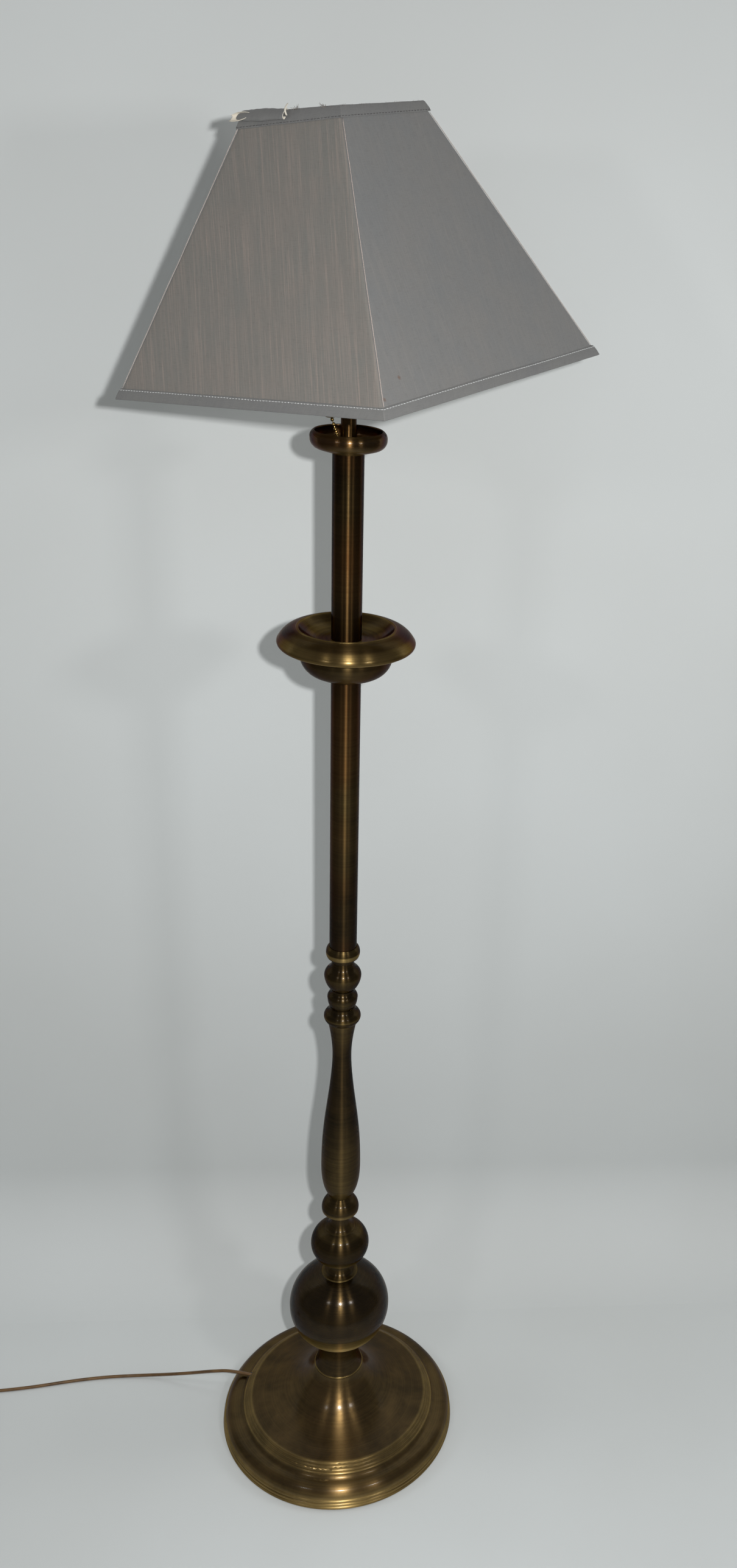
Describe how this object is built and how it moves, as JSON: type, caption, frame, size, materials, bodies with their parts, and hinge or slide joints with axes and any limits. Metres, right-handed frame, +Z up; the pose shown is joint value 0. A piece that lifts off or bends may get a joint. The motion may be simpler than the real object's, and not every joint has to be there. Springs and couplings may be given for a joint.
{
  "type": "candlestick floor lamp",
  "caption": "Floor lamp: turned and spun brass candlestick column with drip pan and candle cup on a weighted round base, tilting square cloth shade, pull switch, cord with plug.",
  "frame": {"origin": "on the floor under the centre of the base", "axes": "+Z up the column; -Y towards the viewer; -X the side where the cord leaves"},
  "size_m": [0.7264, 0.4089, 1.4513],
  "materials": {
    "antique_brass": "lathe-turned brass with a dark brown patina, satin",
    "raw_brass": "plain brass, satin",
    "cast_iron": "black painted casting",
    "steel": "zinc plated steel",
    "felt": "green baize",
    "porcelain": "glazed white porcelain",
    "glass": "pearl glass",
    "shade_cloth": "grey slub cloth on a white lining",
    "binding_cloth": "grey folded cloth binding",
    "frame_wire": "white enamelled wire",
    "cord_cover": "brown and gold flex",
    "plug_plastic": "dark brown moulded plastic",
    "bush_plastic": "dark brown plastic"
  },
  "bodies": {
    "lamp": {"floor_pad": "felt", "base_weight": "cast_iron", "base_shell": "antique_brass", "base_washer": "steel", "base_nut": "steel", "threaded_rod": "steel", "base_cove": "antique_brass", "large_ball": "antique_brass", "ball_neck": "antique_brass", "small_ball": "antique_brass", "small_neck": "antique_brass", "bead_collar": "antique_brass", "baluster": "antique_brass", "bead_lower": "antique_brass", "bead_middle": "antique_brass", "bead_upper": "antique_brass", "tube_collar": "antique_brass", "lower_tube": "antique_brass", "upper_tube": "antique_brass", "tube_bushes": "raw_brass", "pan_bowl": "antique_brass", "drip_pan": "antique_brass", "pan_sleeve": "raw_brass", "candle_cup": "antique_brass", "cup_spacer": "antique_brass", "holder_cap": "antique_brass", "pull_guide": "antique_brass", "switch_block": "porcelain", "lever_pin": "steel", "holder_shell": "antique_brass", "holder_core": "porcelain", "screw_liner": "raw_brass", "centre_contact": "raw_brass", "bulb_cap": "raw_brass", "bulb_glass": "glass", "shade_rings": "antique_brass", "carrier_seat": "raw_brass", "carrier_wires": "raw_brass", "carrier_ring": "raw_brass", "inner_lead": "cord_cover", "cord_grommet": "bush_plastic", "cord_run": "cord_cover", "cord_coil": "cord_cover", "cord_tail": "cord_cover", "plug_body": "plug_plastic", "plug_pins": "raw_brass"},
    "gimbal": {"gimbal_ring": "raw_brass", "pivot_pins": "raw_brass"},
    "shade": {"frame_bottom": "frame_wire", "frame_top": "frame_wire", "frame_struts": "frame_wire", "frame_arms": "frame_wire", "panel_back_right": "shade_cloth", "panel_back_left": "shade_cloth", "panel_front_left": "shade_cloth", "panel_front_right": "shade_cloth", "binding_bottom": "binding_cloth", "binding_top": "binding_cloth"},
    "pull": {"pull_chain": "raw_brass"},
    "lever": {"pull_lever": "raw_brass"}
  },
  "joints": [
    {"name": "shade_turn", "type": "hinge", "parent": "lamp", "child": "gimbal", "pos_m": [0, 0, 1.33231], "axis": [0, 0, 1], "continuous": true},
    {"name": "shade_tilt", "type": "hinge", "parent": "gimbal", "child": "shade", "pos_m": [0, 0, 1.33231], "axis": [-0.068, 0.9977, 0], "range_deg": [-7.8, 22.2]},
    {"name": "chain_pull", "type": "slide", "parent": "lamp", "child": "pull", "axis": [0, 0, -1], "range_m": [0, 0.006], "stiffness_N_per_m": 400, "springref_m": -0.005},
    {"name": "lever_turn", "type": "hinge", "parent": "lamp", "child": "lever", "pos_m": [-0.0025, -0.003, 1.22841], "axis": [0, -1, 0], "range_deg": [0, 26.7]}
  ],
  "couplings": [
    {"joint": "lever_turn", "follows": "chain_pull", "rad_per_m": 77.6}
  ]
}
